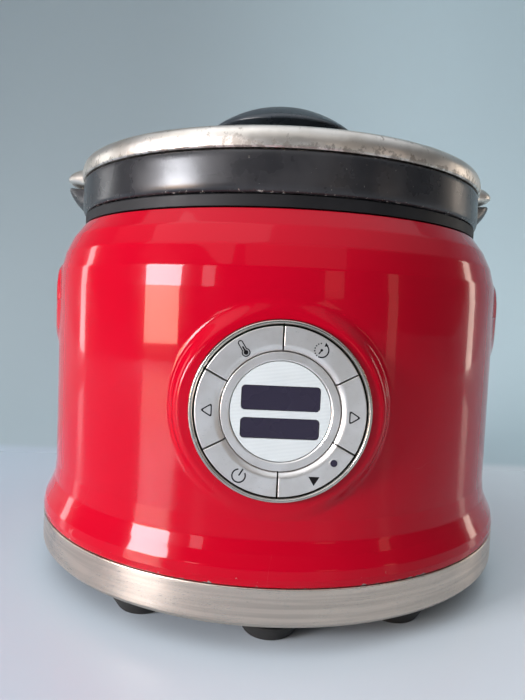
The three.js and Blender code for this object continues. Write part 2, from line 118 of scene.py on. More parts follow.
def rounded(points, closed=False, steps=5):
    """A profile of (r, z) or (r, z, radius), with an arc at each corner that gives a radius."""
    result = []
    count = len(points)
    for i, point in enumerate(points):
        here = Vector(point[:2])
        if len(point) < 3 or (not closed and i in (0, count - 1)):
            result.append(tuple(here))
            continue
        to_last = Vector(points[i - 1][:2]) - here
        to_next = Vector(points[(i + 1) % count][:2]) - here
        half = to_last.angle(to_next) / 2
        reach = min(point[2] / tan(half), 0.48 * to_last.length, 0.48 * to_next.length)
        start = here + to_last.normalized() * reach
        end = here + to_next.normalized() * reach
        for k in range(steps + 1):
            t = k / steps
            result.append(tuple((1 - t) ** 2 * start + 2 * t * (1 - t) * here + t * t * end))
    return result


def dense(points, step, low=-1e9, high=1e9):
    """The profile with its long segments between two heights divided."""
    result = [points[0]]
    for (r0, z0), (r1, z1) in zip(points, points[1:]):
        length = hypot(r1 - r0, z1 - z0)
        inside = max(z0, z1) > low and min(z0, z1) < high
        count = max(1, round(length / step)) if inside else 1
        result += [(r0 + (r1 - r0) * k / count, z0 + (z1 - z0) * k / count) for k in range(1, count + 1)]
    return result


def revolve(name, profile, sides=192, angles=None, shape=None, sharp=38):
    """Solid of revolution about Z. shape(angle, index, r, z) may move each point of the profile."""
    turns = angles or [2 * pi * i / sides for i in range(sides)]
    verts = []
    rings = []
    for k, (r, z) in enumerate(profile):
        if r < 1e-6:
            rings.append([len(verts)] * len(turns))
            verts.append((0, 0, z))
            continue
        rings.append(range(len(verts), len(verts) + len(turns)))
        for a in turns:
            moved_r, moved_z = shape(a, k, r, z) if shape else (r, z)
            verts.append((moved_r * sin(a), -moved_r * cos(a), moved_z))
    on_axis = profile[0][0] < 1e-6 and profile[-1][0] < 1e-6
    following = rings[1:] if on_axis else rings[1:] + rings[:1]
    faces = []
    for low, high in zip(rings, following):
        for i in range(len(turns)):
            j = (i + 1) % len(turns)
            corners = list(dict.fromkeys((low[i], low[j], high[j], high[i])))
            if len(corners) > 2:
                faces.append(corners)
    return finished(name, verts, faces, sharp)


def loft(name, sections, place, closed=False, sharp=38):
    """Solid through outlines [(points, depth)], each (u, v) carried to the object's frame by place."""
    verts = []
    for points, depth in sections:
        verts += [place(u, v, depth(u) if callable(depth) else depth) for u, v in points]
    n = len(sections[0][0])
    faces = [
        (k * n + i, k * n + (i + 1) % n, (k + 1) * n + (i + 1) % n, (k + 1) * n + i)
        for k in range(len(sections) - 1)
        for i in range(n)
    ]
    if closed:
        last = (len(sections) - 1) * n
        faces += [(last + i, last + (i + 1) % n, (i + 1) % n, i) for i in range(n)]
    else:
        faces += [tuple(range(n)), tuple(range((len(sections) - 1) * n, len(sections) * n))]
    return finished(name, verts, faces, sharp)


def rectangle(length, height, radius, centre=(0, 0), steps=8):
    """Outline of a rounded rectangle."""
    a, b = length / 2 - radius, height / 2 - radius
    corners = [(a, -b, -90), (a, b, 0), (-a, b, 90), (-a, -b, 180)]
    return [
        (
            centre[0] + x + radius * cos(radians(start + 90 * k / steps)),
            centre[1] + y + radius * sin(radians(start + 90 * k / steps)),
        )
        for x, y, start in corners
        for k in range(steps + 1)
    ]


def circle(radius, centre=(0, 0), steps=32):
    return [
        (centre[0] + radius * cos(2 * pi * k / steps), centre[1] + radius * sin(2 * pi * k / steps))
        for k in range(steps)
    ]


def sector(inner, outer, start, end, gap=0.0, centre=(0, 0), steps=44):
    """Outline of part of a ring between two angles in degrees, its straight ends set back by gap."""
    points = []
    for radius, way in ((outer, 1), (inner, -1)):
        trim = degrees(asin(gap / radius))
        low, high = start + trim, end - trim
        for k in range(steps + 1):
            at = radians(low + (high - low) * (k if way > 0 else steps - k) / steps)
            points.append((centre[0] + radius * cos(at), centre[1] + radius * sin(at)))
    return points


def on_dial(u, v, depth):
    """From the dial's frame (right, up, outwards) to the object's."""
    return (u, -depth, DIAL_Z + v)


def on_side(side):
    """From a grip's frame to the object's, for the grip at +X or -X."""
    return lambda u, v, depth: (side * depth, side * u, GRIP_Z + v)


def at_back(u, v, depth):
    return (u, depth, INLET_Z + v)


def upright(u, v, depth):
    return (u, v, depth)


def bar_through(outline, low, high, place=upright):
    """A straight cutter of one outline, from one depth to another."""
    return loft("cutter", [(outline, low), (outline, high)], place)


def turn_to_dial(piece):
    piece.data.transform(Matrix.Translation((0, 0, DIAL_Z * MM)) @ Matrix.Rotation(pi / 2, 4, "X"))
    return piece


def combined(operation, piece, *tools):
    """Cuts the tools out of the piece, or joins them to it, and removes them."""
    for tool in tools:
        change = piece.modifiers.new("Boolean", "BOOLEAN")
        change.operation = operation
        change.object = tool
        change.solver = "MANIFOLD"
        bpy.context.view_layer.objects.active = piece
        bpy.ops.object.modifier_apply(modifier=change.name)
        bpy.data.objects.remove(tool)
    piece.data.shade_smooth()
    piece.data.set_sharp_from_angle(angle=radians(32))
    return piece


def around(radius, angle):
    return radius * sin(radians(angle)), -radius * cos(radians(angle))


def moved(piece, x, y, z=0.0):
    piece.data.transform(Matrix.Translation((x * MM, y * MM, z * MM)))
    return piece


# ---------------------------------------------------------------- materials


class Look:
    """A procedural Principled material, patterned by the object's own coordinates in millimetres."""

    def __init__(self, name, **sockets):
        self.material = bpy.data.materials.new(name)
        self.material.use_nodes = True
        self.tree = self.material.node_tree
        self.shader = self.tree.nodes["Principled BSDF"]
        for socket, value in sockets.items():
            self.shader.inputs[socket.replace("_", " ")].default_value = value
        place = self.node("ShaderNodeTexCoord").outputs["Object"]
        self.place = self.vector("SCALE", place, Scale=1000.0)

    def node(self, kind, *values, output=None, named=None, **settings):
        """A node with these settings; values go to its first inputs, named to inputs by name."""
        made = self.tree.nodes.new(kind)
        for key, value in settings.items():
            setattr(made, key, value)
        for key, value in [*enumerate(values), *(named or {}).items()]:
            if isinstance(value, bpy.types.NodeSocket):
                self.tree.links.new(value, made.inputs[key])
            elif value is not None:
                made.inputs[key].default_value = value
        return made if output is None else made.outputs[output]

    def vector(self, operation, a, b=None, **named):
        return self.node("ShaderNodeVectorMath", a, b, output=0, named=named, operation=operation)

    def math(self, operation, a, b=None, clamp=False):
        return self.node("ShaderNodeMath", a, b, output=0, operation=operation, use_clamp=clamp)

    def stretched(self, x, y, z, of=None):
        return self.vector("MULTIPLY", of or self.place, (x, y, z))

    def split(self, of=None):
        made = self.node("ShaderNodeSeparateXYZ", of or self.place)
        return made.outputs[0], made.outputs[1], made.outputs[2]

    def joined(self, x, y, z):
        return self.node("ShaderNodeCombineXYZ", x, y, z, output=0)

    def radius(self, x, y):
        return self.math("SQRT", self.math("ADD", self.math("MULTIPLY", x, x), self.math("MULTIPLY", y, y)))

    def wrapped(self, along, about_dial=False):
        """A place that changes slowly round the axis and fast along and away from it, with no seam."""
        x, y, z = self.split()
        if about_dial:
            z, y = y, self.math("SUBTRACT", z, DIAL_Z)
        radius = self.radius(x, y)
        scale = self.math("DIVIDE", 100.0 * along, radius)
        return self.joined(
            self.math("MULTIPLY", x, scale), self.math("MULTIPLY", y, scale), self.math("ADD", z, radius)
        )

    def noise(self, scale, detail=2.0, roughness=0.5, at=None, distortion=0.0):
        named = {"Scale": scale, "Detail": detail, "Roughness": roughness, "Distortion": distortion}
        return self.node("ShaderNodeTexNoise", at or self.place, output="Fac", named=named)

    def step(self, value, low, high, to_low=0.0, to_high=1.0):
        """to_low below low, to_high above high, and smooth in between."""
        named = {"From Min": low, "From Max": high, "To Min": to_low, "To Max": to_high}
        return self.node("ShaderNodeMapRange", value, output=0, named=named, interpolation_type="SMOOTHSTEP")

    def mixed(self, factor, a, b):
        made = self.node("ShaderNodeMix", data_type="RGBA")
        for index, value in ((0, factor), (6, a), (7, b)):
            if isinstance(value, bpy.types.NodeSocket):
                self.tree.links.new(value, made.inputs[index])
            else:
                made.inputs[index].default_value = value if index == 0 else (*value, 1)
        return made.outputs[2]

    def bump(self, height, distance, strength=1.0, below=None):
        named = {"Height": height, "Distance": distance * MM, "Strength": strength}
        if below:
            named["Normal"] = below
        return self.node("ShaderNodeBump", output=0, named=named)

    def give(self, **sockets):
        for socket, value in sockets.items():
            self.tree.links.new(value, self.shader.inputs[socket.replace("_", " ")])
        return self.material


def hairlines(look, scale, width, share):
    """Fine crossing scratches: thin contour lines of stretched noise, on part of the surface."""
    lines = None
    for turn in ((1.0, 0.35, 0.25), (0.3, 1.0, 0.9)):
        wave = look.noise(scale, 1.0, at=look.stretched(*turn))
        off_middle = look.math("ABSOLUTE", look.math("SUBTRACT", wave, 0.5))
        line = look.math("SUBTRACT", 1.0, look.step(off_middle, 0, width))
        lines = line if lines is None else look.math("MAXIMUM", lines, line)
    return look.math("MULTIPLY", lines, look.step(look.noise(0.045, 3.0), 1 - share, 1 - share + 0.06))


def enamel():
    look = Look("red_enamel", Specular_IOR_Level=0.06, Coat_Weight=0.45, Coat_Roughness=0.03, Coat_IOR=1.38)
    x, y, z = look.split()
    colour = look.mixed(look.noise(0.012, 2.0), (0.40, 0.0, 0.010), (0.45, 0.0, 0.014))
    near_edge = look.step(z, 33.2, 31.2)
    flaws = look.math("ADD", look.noise(0.33, 4.0, 0.62), look.math("MULTIPLY", near_edge, 0.16))
    chips = look.step(flaws, 0.70, 0.715)
    chips = look.math("MULTIPLY", chips, look.step(z, 37.5, 35.5))
    scratches = look.math("MULTIPLY", hairlines(look, 0.03, 0.0007, 0.42), look.step(z, 100, 70))
    smudges = look.noise(0.03, 5.0, 0.6)
    colour = look.mixed(look.math("MULTIPLY", scratches, 0.3), colour, (0.60, 0.22, 0.22))
    colour = look.mixed(chips, colour, (0.27, 0.25, 0.23))
    rough = look.math("ADD", look.step(smudges, 0.35, 0.75, 0.12, 0.24), look.math("MULTIPLY", chips, 0.3))
    peel = look.bump(look.noise(0.16, 1.0), 0.012)
    pits = look.bump(look.math("SUBTRACT", 1.0, chips), 0.12, below=peel)
    look.tree.links.new(peel, look.shader.inputs["Coat Normal"])
    return look.give(Base_Color=colour, Roughness=rough, Normal=pits)


def steel(name, colour, rough, about_dial=False, grain=9.0, depth=0.01, marks=0.5, along=0.05):
    """Brushed or polished steel: grain that runs round, faint smears, and small dark dents."""
    look = Look(name, Metallic=1.0)
    at = look.wrapped(along, about_dial)
    fine = look.noise(grain, 3.0, 0.7, at=at)
    broad = look.noise(0.5, 2.0, at=at)
    smear = look.noise(0.035, 4.0, 0.6)
    dents = look.step(look.noise(0.42, 4.0, 0.66), 0.70, 0.73)
    darker = tuple(c * 0.80 for c in colour)
    base = look.mixed(look.step(broad, 0.3, 0.7), darker, colour)
    base = look.mixed(look.math("MULTIPLY", dents, marks), base, (0.10, 0.085, 0.07))
    grained = look.step(fine, 0.2, 0.8, rough * 0.75, rough * 1.2)
    roughness = look.math("ADD", grained, look.step(smear, 0.4, 0.8, 0, 0.1))
    first = look.bump(fine, depth)
    return look.give(Base_Color=base, Roughness=roughness, Normal=look.bump(dents, -0.06, below=first))


def worn_steel():
    """The lid's rim: steel with shallow dings, a warm film, and dark blotches that gather towards its lower
    edge.
    """
    look = Look("worn_steel", Metallic=1.0)
    x, y, z = look.split()
    fine = look.noise(4.0, 3.0, 0.7, at=look.wrapped(0.06))
    film = look.noise(0.05, 4.0, 0.6)
    blotches = look.noise(0.22, 4.0, 0.65)
    # Dark brown blotches over the rim, more of them towards its lower edge.
    low_edge = look.step(z, 234.5, 230.5)
    dark_blotches = look.math("ADD", blotches, look.math("MULTIPLY", low_edge, 0.14))
    dark_blotches = look.step(dark_blotches, 0.58, 0.70)
    specks = look.step(look.noise(0.8, 4.0, 0.68), 0.70, 0.73)
    base = look.mixed(look.step(film, 0.35, 0.7), (0.74, 0.69, 0.63), (0.64, 0.585, 0.52))
    base = look.mixed(look.math("MULTIPLY", dark_blotches, 0.6), base, (0.17, 0.135, 0.105))
    base = look.mixed(look.math("MULTIPLY", specks, 0.7), base, (0.10, 0.085, 0.07))
    rough = look.math("ADD", look.step(fine, 0.2, 0.8, 0.30, 0.40), look.math("MULTIPLY", dark_blotches, 0.12))
    dings = look.bump(look.noise(0.07, 2.0), 0.5)
    return look.give(Base_Color=base, Roughness=rough, Normal=look.bump(fine, 0.006, below=dings))


def moulded(name, colour, rough, grain=1.6, depth=0.02, gloss=0.5):
    """Moulded plastic or rubber: a fine grain, a little dust, and uneven gloss."""
    look = Look(name, Specular_IOR_Level=gloss)
    fine = look.noise(grain, 3.0, 0.6)
    cloud = look.noise(0.05, 4.0, 0.6)
    lighter = tuple(c * 1.35 + 0.002 for c in colour)
    base = look.mixed(look.step(cloud, 0.35, 0.7), colour, lighter)
    specks = look.step(look.noise(0.9, 3.0, 0.7), 0.74, 0.80)
    base = look.mixed(look.math("MULTIPLY", specks, 0.35), base, (0.20, 0.19, 0.18))
    roughness = look.step(cloud, 0.3, 0.75, rough - 0.05, rough + 0.08)
    return look.give(Base_Color=base, Roughness=roughness, Normal=look.bump(fine, depth))


def coating():
    """Satin black pot coating, worn through to the metal along the edges of its band."""
    look = Look("pot_coating", Specular_IOR_Level=0.42)
    x, y, z = look.split()
    radius = look.radius(x, y)
    cloud = look.noise(0.04, 4.0, 0.6)
    base = look.mixed(look.step(cloud, 0.35, 0.7), (0.016, 0.016, 0.018), (0.030, 0.029, 0.031))
    outside = look.step(radius, 122.0, 123.5)
    edges = look.math("MAXIMUM", look.step(z, 228.0, 229.4), look.step(z, 211.6, 210.0))
    wear = look.math("ADD", look.noise(0.55, 4.0, 0.68), look.math("MULTIPLY", edges, 0.10))
    chips = look.math("MULTIPLY", look.step(wear, 0.70, 0.72), outside)
    scratches = hairlines(look, 0.05, 0.0010, 0.4)
    base = look.mixed(look.math("MULTIPLY", scratches, 0.25), base, (0.12, 0.115, 0.11))
    base = look.mixed(chips, base, (0.36, 0.34, 0.31))
    rough = look.step(cloud, 0.3, 0.75, 0.24, 0.34)
    fine = look.bump(look.noise(1.4, 3.0, 0.6), 0.02)
    return look.give(Base_Color=base, Roughness=rough, Normal=look.bump(chips, -0.08, below=fine))


def brushed_silver():
    """Satin metallised plastic of the dial, brushed across, with faint marks."""
    look = Look("silver_plastic", Metallic=0.85)
    fine = look.noise(6.0, 3.0, 0.7, at=look.stretched(0.05, 1, 1))
    broad = look.noise(0.09, 3.0)
    wear = look.step(look.noise(0.8, 4.0, 0.68), 0.74, 0.765)
    base = look.mixed(look.step(broad, 0.35, 0.7), (0.66, 0.63, 0.60), (0.76, 0.735, 0.715))
    base = look.mixed(look.math("MULTIPLY", fine, 0.25), base, (0.84, 0.82, 0.80))
    base = look.mixed(look.math("MULTIPLY", wear, 0.6), base, (0.12, 0.11, 0.10))
    rough = look.step(fine, 0.25, 0.75, 0.27, 0.38)
    return look.give(Base_Color=base, Roughness=rough, Normal=look.bump(fine, 0.006))


def display_sheet():
    """Pale metallic sheet with fine level lines."""
    look = Look("display_plate", Metallic=0.25)
    x, y, z = look.split()
    wave = look.math("SINE", look.math("MULTIPLY", z, 2 * pi / 0.62))
    soft = look.noise(0.10, 2.0)
    base = look.mixed(look.step(wave, -1, 1), (0.56, 0.61, 0.615), (0.74, 0.78, 0.775))
    base = look.mixed(look.math("MULTIPLY", soft, 0.3), base, (0.80, 0.83, 0.83))
    rough = look.step(soft, 0.3, 0.7, 0.38, 0.48)
    return look.give(Base_Color=base, Roughness=rough, Normal=look.bump(wave, 0.01))


def lcd_window():
    """Dark glossy display window with a faint cell pattern below its surface."""
    look = Look("lcd", Specular_IOR_Level=0.25, Coat_Weight=0.35, Coat_Roughness=0.04)
    x, y, z = look.split()
    columns, rows = (look.math("SINE", look.math("MULTIPLY", across, 9.0)) for across in (x, z))
    cells = look.math("MAXIMUM", columns, rows)
    cloud = look.noise(0.06, 2.0)
    base = look.mixed(cloud, (0.015, 0.011, 0.028), (0.018, 0.013, 0.030))
    base = look.mixed(look.step(cells, 0.9, 1.0, 0, 0.12), base, (0.07, 0.06, 0.10))
    return look.give(Base_Color=base, Roughness=look.step(cloud, 0.3, 0.7, 0.22, 0.32))


def clear_glass():
    look = Look("glass", Transmission_Weight=1.0, IOR=1.47, Base_Color=(0.93, 0.97, 0.96, 1))
    film = look.noise(0.04, 5.0, 0.65)
    waves = look.bump(look.noise(0.03, 1.0), 0.05)
    return look.give(Roughness=look.step(film, 0.4, 0.8, 0.01, 0.07), Normal=waves)


def aluminium():
    look = Look("aluminium", Metallic=1.0)
    fine = look.noise(4.0, 3.0, 0.65, at=look.wrapped(0.06))
    heat = look.noise(0.03, 4.0, 0.6)
    base = look.mixed(look.step(heat, 0.35, 0.75), (0.60, 0.60, 0.60), (0.44, 0.41, 0.37))
    rough = look.step(fine, 0.25, 0.75, 0.30, 0.44)
    return look.give(Base_Color=base, Roughness=rough, Normal=look.bump(fine, 0.015))


def board():
    look = Look("circuit_board", Roughness=0.4)
    size = {"Scale": 0.09, "Mortar Size": 0.03}
    mesh = look.node("ShaderNodeTexBrick", look.place, output="Fac", named=size)
    tint = look.noise(0.2, 3.0)
    base = look.mixed(mesh, (0.012, 0.075, 0.030), (0.05, 0.19, 0.07))
    base = look.mixed(look.math("MULTIPLY", tint, 0.3), base, (0.02, 0.11, 0.05))
    rough = look.step(tint, 0.3, 0.7, 0.3, 0.45)
    return look.give(Base_Color=base, Roughness=rough, Normal=look.bump(mesh, 0.03))


def brass():
    look = Look("brass", Metallic=1.0)
    fine = look.noise(3.0, 3.0, at=look.stretched(1, 0.1, 1))
    tarnish = look.noise(0.25, 4.0, 0.6)
    base = look.mixed(look.step(tarnish, 0.4, 0.75), (0.66, 0.47, 0.19), (0.36, 0.24, 0.10))
    rough = look.step(tarnish, 0.3, 0.7, 0.24, 0.42)
    return look.give(Base_Color=base, Roughness=rough, Normal=look.bump(fine, 0.01))


LOOKS = {
    "red_enamel": enamel(),
    # The brushed steel's brown tint is partly its own tone and partly a painted reflection of warm room
    # light.
    "brushed_steel": steel("brushed_steel", (0.63, 0.545, 0.465), 0.30, grain=7.0, depth=0.012, marks=0.35),
    "polished_steel": steel("polished_steel", (0.66, 0.635, 0.60), 0.19, grain=5.0, depth=0.004, marks=0.7),
    "black_plastic": moulded("black_plastic", (0.011, 0.011, 0.012), 0.42),
    "rubber": moulded("rubber", (0.010, 0.010, 0.010), 0.78, grain=2.4, depth=0.05),
    "aluminium": aluminium(),
    "circuit_board": board(),
    "brass": brass(),
    "silver_plastic": brushed_silver(),
    "display_plate": display_sheet(),
    "lcd": lcd_window(),
    "pot_coating": coating(),
    "glass": clear_glass(),
    "knob_plastic": moulded("knob_plastic", (0.016, 0.021, 0.026), 0.30, grain=0.9, depth=0.008),
}
LID_STEEL = worn_steel()
BEZEL_STEEL = steel(
    "bezel_steel", (0.54, 0.51, 0.46), 0.22, about_dial=True, grain=3.0, depth=0.004, marks=0.8
)
# The top ring is black plastic, painted darker than the rest as painted shade for its place under the pot's
# band.
RING_PLASTIC = moulded("ring_plastic", (0.007, 0.007, 0.008), 0.55, gloss=0.25)
PRINT = moulded("black_print", (0.005, 0.004, 0.005), 0.50, grain=3.0, depth=0.004, gloss=0.15)


def finish(piece, body, slot, nodes=(), look=None):
    """Gives a piece its material, the body it rides on and the CAD nodes it stands for."""
    piece.data.materials.clear()
    piece.data.materials.append(look or LOOKS[slot])
    weighted = piece.modifiers.new("Weighted normals", "WEIGHTED_NORMAL")
    weighted.keep_sharp = True
    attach(piece, body)
    if nodes:
        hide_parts(*nodes)
    return piece


def stands_for(piece, body, slot, look=None):
    """A piece named after the one CAD node that it replaces, with an ending of its own."""
    node = piece.name.split(".")[0]
    piece.name = node + "_visual"
    return finish(piece, body, slot, (node,), look)


# ---------------------------------------------------------------- housing

SHELL_OUTSIDE = dense(
    rounded(
        [
            (141.4, 15.6),
            (143.2, 15.6, 0.5),
            (143.2, 31.5),
            (144.7, 31.5, 0.5),
            (145.1, 32.4, 0.5),
            (145.2, 35.0, 2.4),
            (144.4, 39.4, 4),
            (141.6, 45.2, 5),
            (139.4, 50.6, 6),
            (WALL_R, 60, 8),
            (WALL_R, 165, 10),
            (137.9, 174.5, 9),
            (135.4, 185.0, 9),
            (131.0, 194.4, 9),
            (126.4, 200.6, 4),
            (124.9, 202.6, 1.0),
            (122.6, 202.6, 0.9),
        ],
        steps=6,
    ),
    0.9,
    51,
    198,
)
SHELL_INSIDE = [(122.6, 200.6), (127.4, 195), (131.8, 186.5), (136.3, 173), (136.3, 52), (141.4, 38)]


def turns_about_body():
    """Angles round the body, close together across the dial's seat and the grips."""
    turns = []
    degree = 0.0
    while degree < 359.99:
        turns.append(radians(degree))
        front = min(degree, 360 - degree)
        side = min(abs(degree - 90), abs(degree - 270))
        degree += 0.36 if front < 26 else 0.75 if side < 27 else 1.5
    return turns


def outline_distance(u, v, length, height, radius):
    """Distance from a rounded rectangle's outline, negative inside it."""
    across, up = abs(u) - length / 2 + radius, abs(v) - height / 2 + radius
    return hypot(max(across, 0), max(up, 0)) + min(max(across, up), 0) - radius


def shell_shape(a, k, r, z):
    """Swells the wall into the dial's flat seat and into the raised lip round each grip."""
    if k >= len(SHELL_OUTSIDE):
        return r, z
    from_dial = hypot(r * sin(a), z - DIAL_Z)
    if cos(a) > 0.85 and from_dial < SEAT_OUTER_R:
        seat = smoother((SEAT_OUTER_R - from_dial) / (SEAT_OUTER_R - SEAT_R))
        return r + (DIAL_PLANE / cos(a) - r) * seat, z
    if abs(cos(a)) < 0.5 and 115 < z < 200:
        q = outline_distance(r * cos(a), z - GRIP_Z, *GRIP_POCKET)
        reach = 17 if z < GRIP_Z else 12
        lip = between([(-4, 0.4), (0, 1.15), (1.5, 1.7), (3.5, 2.0), (5.5, 1.85)], q)
        if q > 5.5:
            lip = 1.85 * smoother((reach - q) / (reach - 5.5))
        return min(r + lip, 140.5), z
    return r, z


def housing_shell():
    turns = turns_about_body()
    shell = revolve("housing_shell", SHELL_OUTSIDE + SHELL_INSIDE, angles=turns, shape=shell_shape)
    hole_r = BEZEL_R + GAP
    hole = turn_to_dial(revolve("cutter", [(0, 100), (hole_r, 100), (hole_r, 150), (0, 150)], 160))
    pockets = [bar_through(rectangle(*GRIP_POCKET), 100, 160, on_side(side)) for side in (1, -1)]
    inlet = bar_through(rectangle(INLET[0] + 2 * GAP, INLET[1] + 2 * GAP, 2.6), 100, 160, at_back)
    return combined("DIFFERENCE", shell, hole, *pockets, inlet)


stands_for(housing_shell(), "housing", "red_enamel")

band = revolve(
    "base_band",
    rounded(
        [
            (141, 12.6, 0.2),
            (143.4, 12.6, 0.7),
            (145.3, 14.8, 1.2),
            (145.3, 31.2, 0.7),
            (143.6, 31.2, 0.25),
            (143.6, 14.4),
            (141, 13.8, 0.2),
        ],
        closed=True,
    ),
    256,
)
stands_for(band, "housing", "brushed_steel")


def grip_cup(name, side):
    def follow(radius):
        return lambda u: sqrt(radius**2 - u**2)

    length, height, corner = GRIP_POCKET
    sections = [
        (rectangle(length - 4, height - 4, corner - 2), 119.0),
        (rectangle(length - 1.4, height - 1.4, corner - 0.7), 119.8),
        (rectangle(length - 0.6, height - 0.6, corner - 0.3), 121.0),
        (rectangle(length - 0.6, height - 0.6, corner - 0.3), follow(139.4)),
        (rectangle(length - 0.9, height - 0.9, corner - 0.45), follow(139.9)),
        (rectangle(length - 1.6, height - 1.6, corner - 0.8), follow(140.1)),
        (rectangle(length - 2.6, height - 2.6, corner - 1.3), follow(139.9)),
        (rectangle(length - 4.2, height - 4.2, corner - 2.1), follow(138.9)),
        (rectangle(length - 4.9, height - 4.9, corner - 2.4), follow(137.2)),
        (rectangle(length - 5.4, height - 5.4, corner - 2.7), 124.4),
        (rectangle(length - 6.4, height - 6.4, corner - 3.2), 122.2),
        (rectangle(length - 8.6, height - 8.6, corner - 4.2), 121.0),
        (rectangle(length - 12, height - 12, corner - 5.5), 120.6),
    ]
    return loft(name, sections, on_side(side))


stands_for(grip_cup("grip_cup_right", 1), "housing", "brushed_steel")
stands_for(grip_cup("grip_cup_left", -1), "housing", "brushed_steel")


def bottom_cover():
    profile = rounded(
        [
            (0, 8.6),
            (60, 8.6),
            (131.6, 8.6, 2),
            (138.3, 11.4, 1.5),
            (140.2, 14.0, 0.3),
            (138.2, 14.0, 0.3),
            (136.2, 12.4, 1),
            (130.8, 10.7, 2),
            (0, 10.7),
        ]
    )

    def ribs(a, k, r, z):
        """Fine upright ribs round the sloping edge."""
        if 133 < r and z < 13.5:
            return r - 0.35 * (sin(a * 120) > 0), z
        return r, z

    cover = revolve("bottom_cover", profile, 720, shape=ribs, sharp=25)
    slots = [bar_through(rectangle(60, 4.2, 2.0, (0, 14 * i)), 5, 20) for i in range(-2, 3)]
    holes = [bar_through(circle(4.8, around(SCREW_CIRCLE_R, angle)), 5, 20) for angle in SCREW_ANGLES]
    return combined("DIFFERENCE", cover, *slots, *holes)


stands_for(bottom_cover(), "housing", "black_plastic")

for number, angle in enumerate(FOOT_ANGLES, 1):
    foot_profile = [
        (0, 0.5),
        (7, 0.5, 0.4),
        (7.6, 0, 0.3),
        (12, 0, 0.8),
        (13, 1.0, 0.6),
        (15.4, 4.8, 1.5),
        (17, 7.2, 0.8),
        (17, 8.1, 0.3),
        (0, 8.1),
    ]
    foot = moved(revolve(f"foot_{number}", rounded(foot_profile), 64), *around(FOOT_CIRCLE_R, angle))
    stands_for(foot, "housing", "rubber")

for number, angle in enumerate(SCREW_ANGLES, 1):
    head = rounded([(0, 8.9), (3.4, 8.9, 1.0), (4.3, 9.9, 0.3), (4.3, 10.0), (2, 12), (2, 22), (0, 22)])
    screw = revolve(f"base_screw_{number}", head, 40)
    cross = [
        loft("cutter", [(rectangle(a, b, 0.2), 8), (rectangle(a - 0.6, b - 0.2, 0.15), 9.9)], upright)
        for a, b in ((4.4, 0.9), (0.9, 4.4))
    ]
    screw = moved(combined("DIFFERENCE", screw, *cross), *around(SCREW_CIRCLE_R, angle))
    stands_for(screw, "housing", "polished_steel")

ring_profile = [
    (113.2, 203.4),
    (119.4, 203.4, 0.3),
    (119.4, 196.4, 0.4),
    (121.9, 196.4, 0.4),
    (121.9, 203.3, 0.2),
    (124.6, 203.3, 0.4),
    (124.6, 209.2, 0.8),
    (118, 209.2),
    (113.2, 209.2, 0.8),
]
stands_for(revolve("top_ring", rounded(ring_profile), 192), "housing", "black_plastic", RING_PLASTIC)

# ---------------------------------------------------------------- heating, seen with the pot out

well_profile = [
    (72, 84),
    (113, 84, 3),
    (113, 201.3, 0.4),
    (118.8, 201.3, 0.3),
    (118.8, 202.9, 0.3),
    (111.5, 202.9, 1.2),
    (111.5, 85.5, 2),
    (72, 85.5),
]
stands_for(revolve("heat_well", rounded(well_profile, closed=True), 160), "housing", "aluminium")

plate = [(14, 80), (70, 80, 0.6), (70, 92.2, 1.2)]
for groove in (62, 50, 38, 26):
    lips = ((0.8, 92.2), (0.5, 91.7), (-0.5, 91.7), (-0.8, 92.2))
    plate += [(groove + off, z, 0.2) for off, z in lips]
plate += [(14, 92.2, 1.0)]
stands_for(revolve("heater_plate", rounded(plate, closed=True, steps=3), 128), "housing", "aluminium")

cap_profile = [
    (0, 78.6),
    (10.6, 78.6, 0.5),
    (10.6, 84.6, 0.3),
    (12.6, 85.6, 0.5),
    (12.6, 90.4, 0.8),
    (11.4, 91.7, 0.8),
    (8, 91.9, 1),
    (0, 91.9),
]
stands_for(revolve("sensor_cap", rounded(cap_profile), 64), "sensor", "aluminium")


def coil(name, radius, wire, low, high, turns, steps=168, sides=14):
    """A round wire wound up the axis."""
    verts = []
    for k in range(steps + 1):
        a = 2 * pi * turns * k / steps
        height = low + (high - low) * k / steps
        for i in range(sides):
            t = 2 * pi * i / sides
            r = radius + wire * cos(t)
            verts.append((r * cos(a), r * sin(a), height + wire * sin(t)))
    faces = [
        (k * sides + i, k * sides + (i + 1) % sides, (k + 1) * sides + (i + 1) % sides, (k + 1) * sides + i)
        for k in range(steps)
        for i in range(sides)
    ]
    faces += [tuple(range(sides)), tuple(range(steps * sides, (steps + 1) * sides))]
    return finished(name, verts, faces)


spring = stands_for(coil("sensor_spring", 8.6, 0.8, 68.6, 77.2, 3.5), "housing", "brushed_steel")
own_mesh(spring)

# ---------------------------------------------------------------- mains inlet


def power_inlet():
    sections = [
        (rectangle(26, 19, 2), 112.0),
        (rectangle(*INLET, 2.4), 112.6),
        (rectangle(*INLET, 2.4), 138.8),
        (rectangle(26.4, 19.4, 2.1), 139.2),
        (rectangle(23.4, 16.4, 3.4), 139.2),
        (rectangle(22.6, 15.6, 3.0), 138.7),
        (rectangle(22.2, 15.2, 2.9), 123.2),
        (rectangle(21.4, 14.4, 2.6), 122.6),
    ]
    body = loft("power_inlet", sections, at_back)
    seats = [bar_through(rectangle(4.6, 2.6, 0.4, place), 100, 130, at_back) for place in PIN_PLACES.values()]
    return combined("DIFFERENCE", body, *seats)


PIN_PLACES = {"live": (-7, -3), "neutral": (7, -3), "earth": (0, 3)}
stands_for(power_inlet(), "housing", "black_plastic")
for name, place in PIN_PLACES.items():
    sections = [
        (rectangle(3.4, 1.4, 0.3, place), 105.0),
        (rectangle(4, 2, 0.5, place), 105.4),
        (rectangle(4, 2, 0.5, place), 129.4),
        (rectangle(3.4, 1.5, 0.4, place), 130.5),
        (rectangle(2.2, 0.8, 0.3, place), 131.0),
    ]
    stands_for(loft(f"inlet_pin_{name}", sections, at_back), "housing", "brass")

# ---------------------------------------------------------------- dial

